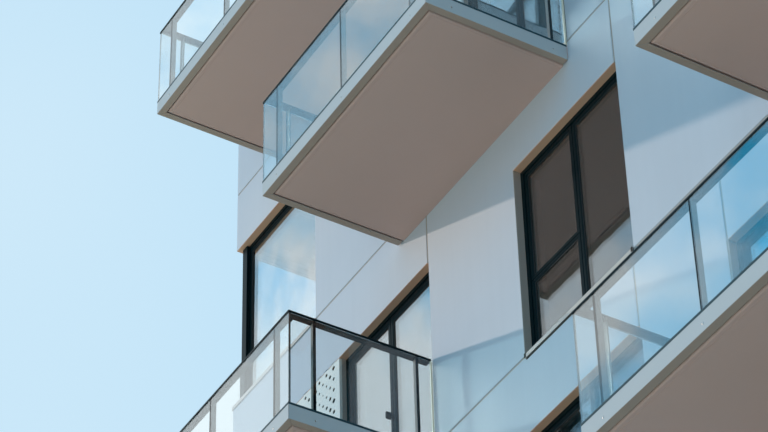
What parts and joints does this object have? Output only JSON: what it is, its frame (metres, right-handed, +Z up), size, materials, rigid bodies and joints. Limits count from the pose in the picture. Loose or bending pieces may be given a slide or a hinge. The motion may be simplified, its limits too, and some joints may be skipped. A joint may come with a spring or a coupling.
{
  "type": "apartment block",
  "caption": "Modern flat-roofed apartment block of white precast wall panels, hollow, with floor-high windows, corner windows and glass-fronted balconies in staggered places.",
  "frame": {"origin": "centre of the base on the ground", "axes": "+Z up; the pictured long wall faces -Y; +X to the right along it as seen from outside"},
  "size_m": [17.44, 15.67, 27.955],
  "materials": {
    "base_concrete": "fair-faced dark grey concrete, matt",
    "slab_concrete": "cast concrete, matt",
    "panel_concrete": "smooth off-white precast concrete with faint upright streaks, matt",
    "inner_wall": "plastered concrete, matt",
    "frame_metal": "dark teal-black powder coat, satin",
    "window_glass": "clear insulating glass with a blue-green tint",
    "sill_metal": "folded aluminium, satin",
    "cover_metal": "white powder-coated perforated sheet",
    "coping_metal": "folded aluminium, satin",
    "balcony_concrete": "smooth painted soffit, matt",
    "trim_metal": "pale grey powder-coated sheet, satin",
    "shoe_rubber": "black gasket strip",
    "balcony_glass": "clear laminated glass with a teal tint",
    "post_metal": "satin anodised",
    "rail_metal": "black powder coat, satin"
  },
  "bodies": {
    "root": {"plinth": "base_concrete", "ground_slab": "slab_concrete", "floor_slabs": "slab_concrete", "roof_slab": "slab_concrete", "front_panels": "panel_concrete", "back_panels": "panel_concrete", "left_panels": "panel_concrete", "right_panels": "panel_concrete", "front_piers": "inner_wall", "back_piers": "inner_wall", "left_piers": "inner_wall", "right_piers": "inner_wall", "long_wall_lintels": "inner_wall", "short_wall_lintels": "inner_wall", "front_frames": "frame_metal", "back_frames": "frame_metal", "left_frames": "frame_metal", "right_frames": "frame_metal", "corner_posts": "frame_metal", "front_panes": "window_glass", "back_panes": "window_glass", "left_panes": "window_glass", "right_panes": "window_glass", "window_sills": "sill_metal", "perforated_covers": "cover_metal", "parapet_panels": "panel_concrete", "parapet_core": "inner_wall", "coping": "coping_metal", "front_balcony_slabs": "balcony_concrete", "front_balcony_trims": "trim_metal", "front_glass_shoes": "shoe_rubber", "front_balcony_glass": "balcony_glass", "front_balcony_posts": "post_metal", "front_top_rails": "rail_metal", "back_balcony_slabs": "balcony_concrete", "back_balcony_trims": "trim_metal", "back_glass_shoes": "shoe_rubber", "back_balcony_glass": "balcony_glass", "back_balcony_posts": "post_metal", "back_top_rails": "rail_metal"}
  },
  "joints": []
}
